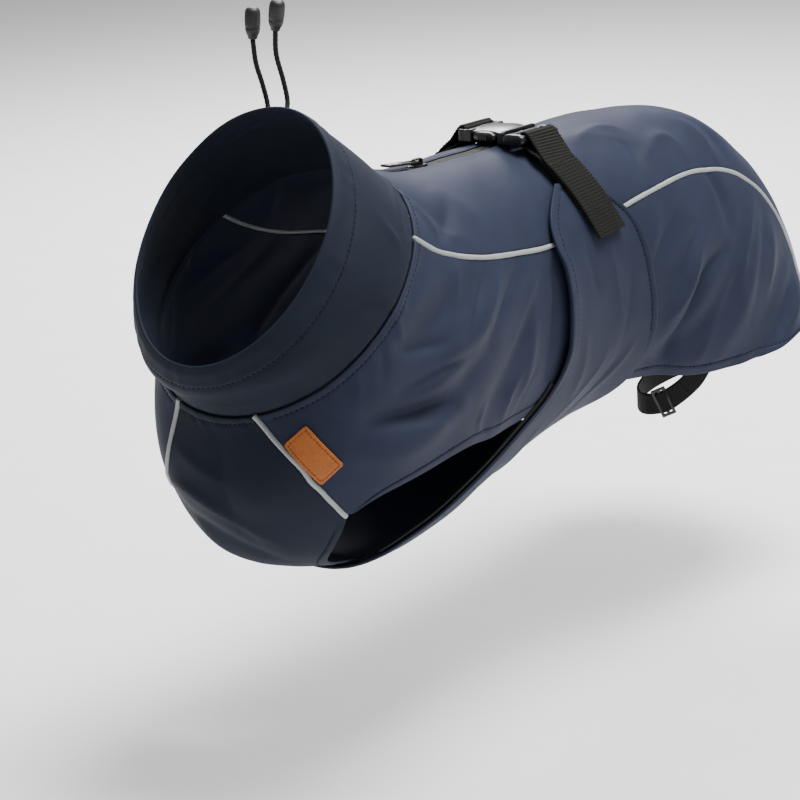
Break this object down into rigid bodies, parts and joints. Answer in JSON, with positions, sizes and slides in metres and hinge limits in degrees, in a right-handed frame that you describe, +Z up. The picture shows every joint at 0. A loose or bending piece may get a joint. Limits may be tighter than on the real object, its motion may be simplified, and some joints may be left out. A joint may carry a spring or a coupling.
{
  "type": "dog raincoat",
  "caption": "Navy softshell dog raincoat in its worn shape, with stand collar, belly flap, buckled strap, back zip, leg loops and reflective piping.",
  "frame": {"origin": "inside of the back panel, on the centre line, under the buckle, where the wearer's back carries the coat", "axes": "+Z up, neck towards -Y, tail towards +Y, wearer's left +X"},
  "size_m": [0.168, 0.4937, 0.2956],
  "materials": {
    "navy_softshell": "matt woven softshell, slightly sheeny",
    "collar_softshell": "matt woven softshell",
    "black_elastic": "ribbed elastic",
    "black_webbing": "ribbed webbing",
    "reflective_piping": "grey reflective piping",
    "zip_tape": "coated zip tape",
    "zip_metal": "black lacquered metal",
    "buckle_plastic": "moulded acetal, half gloss",
    "cord": "braided cord",
    "cord_end": "soft moulded plastic",
    "label_leather": "orange brown leather"
  },
  "bodies": {
    "coat": {"collar": "collar_softshell", "collar_channel": "collar_softshell", "back_panel": "navy_softshell", "side_panel_left": "navy_softshell", "side_panel_right": "navy_softshell", "chest_panel": "collar_softshell", "belly_flap": "navy_softshell", "elastic_band_left": "black_elastic", "elastic_band_right": "black_elastic", "side_piping_left": "reflective_piping", "side_piping_right": "reflective_piping", "chest_piping_left": "reflective_piping", "chest_piping_right": "reflective_piping", "zip_tape": "zip_tape", "zip_slider": "zip_metal", "zip_crown": "zip_metal", "webbing_left": "black_webbing", "webbing_tail": "black_webbing", "webbing_right": "black_webbing", "webbing_loop": "black_webbing", "buckle_socket": "buckle_plastic", "buckle_prongs": "buckle_plastic", "leather_label": "label_leather", "leg_loop_left": "black_elastic", "leg_loop_right": "black_elastic", "loop_slider_left": "buckle_plastic", "loop_slider_right": "buckle_plastic", "drawcord_left": "cord", "drawcord_right": "cord", "cord_end_left": "cord_end", "cord_end_right": "cord_end"},
    "pull": {"zip_pull": "zip_metal"}
  },
  "joints": [
    {"name": "zip_pull_hinge", "type": "hinge", "parent": "coat", "child": "pull", "pos_m": [0, -0.0774, 0.0038], "axis": [-1, 0, 0], "range_deg": [0, 150]}
  ]
}
